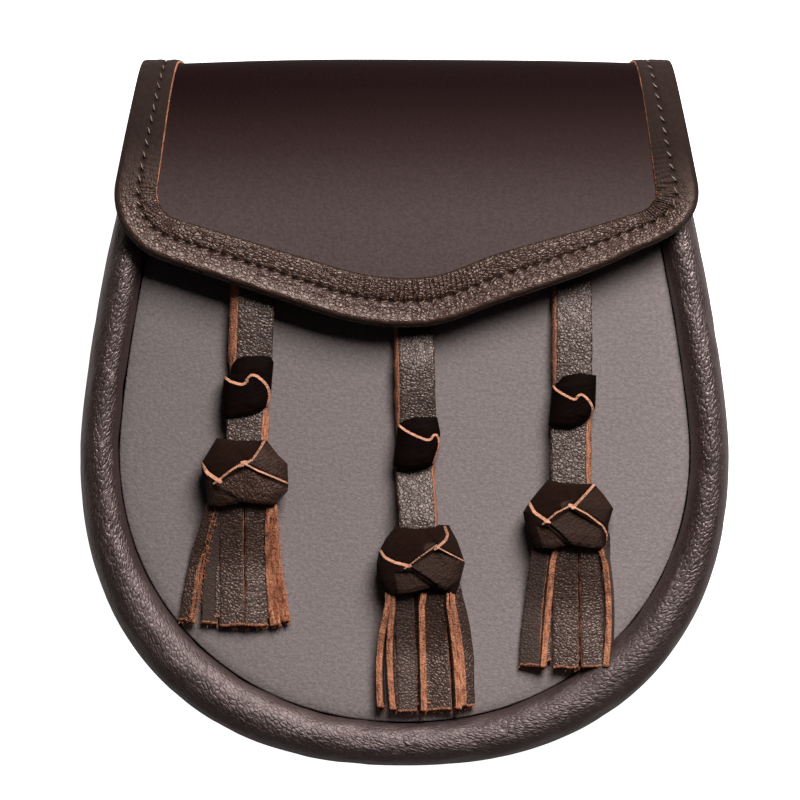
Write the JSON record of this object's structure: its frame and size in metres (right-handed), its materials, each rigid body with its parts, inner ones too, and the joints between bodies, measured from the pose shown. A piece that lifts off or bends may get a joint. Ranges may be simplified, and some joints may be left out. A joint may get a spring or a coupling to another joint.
{
  "type": "sporran pouch",
  "caption": "Round-bottomed leather belt pouch with a padded rim, a pointed flap and three strap tassels on its front.",
  "frame": {"origin": "bottom centre of the bounding box: under the middle of the pouch as it lies on its back", "axes": "+Y from the round bottom to the fold at the top, +Z out of the front, +X to the right seen from the front"},
  "size_m": [0.185, 0.2016, 0.0452],
  "materials": {
    "panel_leather": "smooth, waxed",
    "flap_leather": "smooth, waxed",
    "grained_leather": "pebbled grain, satin",
    "knot_leather": "smooth, dark, with raw cut edges",
    "closure_brass": "satin"
  },
  "bodies": {
    "root": {"front_panel": "panel_leather", "back_panel": "panel_leather", "gusset": "panel_leather", "rim_roll": "grained_leather", "flap": "flap_leather", "flap_binding": "grained_leather", "snap_closure": "closure_brass", "belt_loop_left": "panel_leather", "belt_loop_right": "panel_leather", "strap_left": "grained_leather", "strap_middle": "grained_leather", "strap_right": "grained_leather", "strap_knot_left": "knot_leather", "strap_knot_middle": "knot_leather", "strap_knot_right": "knot_leather", "tassel_knot_left": "knot_leather", "tassel_knot_middle": "knot_leather", "tassel_knot_right": "knot_leather", "tassel_left": "grained_leather", "tassel_middle": "grained_leather", "tassel_right": "grained_leather"}
  },
  "joints": []
}
